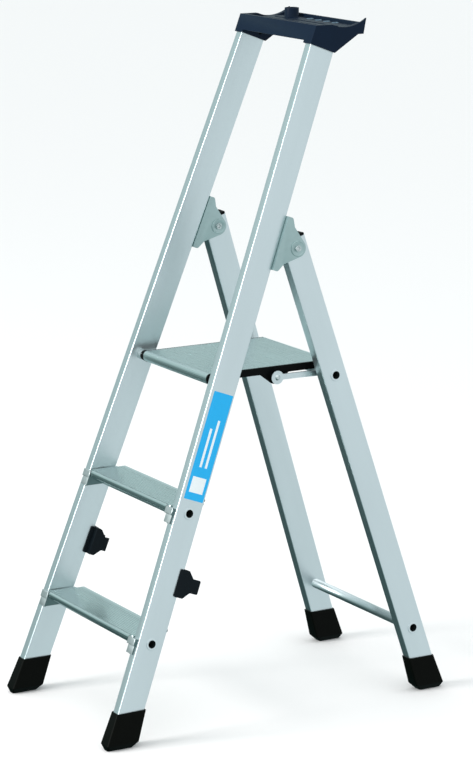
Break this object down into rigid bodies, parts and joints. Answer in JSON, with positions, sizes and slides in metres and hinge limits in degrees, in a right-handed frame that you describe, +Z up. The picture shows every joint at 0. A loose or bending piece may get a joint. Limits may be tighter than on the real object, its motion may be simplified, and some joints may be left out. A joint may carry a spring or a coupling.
{
  "type": "step ladder",
  "caption": "Folding platform step ladder with box-section stiles, grooved treads, a fold-up platform, a tool tray across the stile tops and rubber boots.",
  "frame": {"origin": "middle of the ladder's footprint, on the floor", "axes": "+X to the right stile seen from the climbing side, +Y from the climbing side to the rear legs, +Z up"},
  "size_m": [0.4238, 0.7543, 1.32],
  "materials": {
    "anodised_profile": "satin anodised extrusion",
    "tread_aluminium": "ribbed extrusion, satin",
    "tube_aluminium": "drawn tube, satin",
    "sheet_aluminium": "pressed sheet, satin",
    "zinc_steel": "zinc plated",
    "black_plastic": "moulded, matte",
    "navy_plastic": "moulded, fine texture",
    "black_rubber": "moulded rubber, matte",
    "blue_film": "printed film, blank"
  },
  "bodies": {
    "front_frame": {"stile_left": "anodised_profile", "stile_right": "anodised_profile", "tread_lower": "tread_aluminium", "tread_upper": "tread_aluminium", "tread_brackets_lower": "sheet_aluminium", "tread_brackets_upper": "sheet_aluminium", "tread_tube_lower": "tube_aluminium", "tread_tube_upper": "tube_aluminium", "tread_rivets": "zinc_steel", "hinge_bracket_left": "sheet_aluminium", "hinge_bracket_right": "sheet_aluminium", "hinge_bracket_rivets": "zinc_steel", "hinge_washers": "zinc_steel", "hinge_pin_left": "zinc_steel", "hinge_pin_right": "zinc_steel", "transport_clip_left": "navy_plastic", "transport_clip_right": "navy_plastic", "side_label": "blue_film", "front_boot_left": "black_rubber", "front_boot_right": "black_rubber", "tool_tray": "navy_plastic", "tray_screws": "zinc_steel", "platform_pin_left": "zinc_steel", "platform_pin_right": "zinc_steel", "platform_bush_left": "black_plastic", "platform_bush_right": "black_plastic"},
    "rear_frame": {"rear_leg_left": "anodised_profile", "rear_leg_right": "anodised_profile", "leg_plug_left": "black_plastic", "leg_plug_right": "black_plastic", "hinge_bushes": "black_plastic", "cross_tube_upper": "tube_aluminium", "cross_tube_lower": "tube_aluminium", "rear_boot_left": "black_rubber", "rear_boot_right": "black_rubber", "link_collars": "black_plastic"},
    "platform": {"platform_deck": "tread_aluminium", "platform_side_left": "black_plastic", "platform_side_right": "black_plastic"},
    "links": {"link_left": "sheet_aluminium", "link_right": "sheet_aluminium", "link_washers": "zinc_steel", "link_rivets": "zinc_steel"}
  },
  "joints": [
    {"name": "rear_fold", "type": "hinge", "parent": "front_frame", "child": "rear_frame", "pos_m": [0, 0.05939, 0.89785], "axis": [-1, 0, 0], "range_deg": [0, 38.5]},
    {"name": "platform_fold", "type": "hinge", "parent": "front_frame", "child": "platform", "pos_m": [0, -0.10383, 0.658], "axis": [1, 0, 0], "range_deg": [0, 51.9]},
    {"name": "link_swing", "type": "hinge", "parent": "rear_frame", "child": "links", "pos_m": [0, 0.14091, 0.6486], "axis": [-1, 0, 0], "range_deg": [0, 61.9]}
  ],
  "couplings": [
    {"joint": "platform_fold", "follows": "rear_fold", "ratio": 1.3355},
    {"joint": "link_swing", "follows": "rear_fold", "ratio": 1.595}
  ]
}
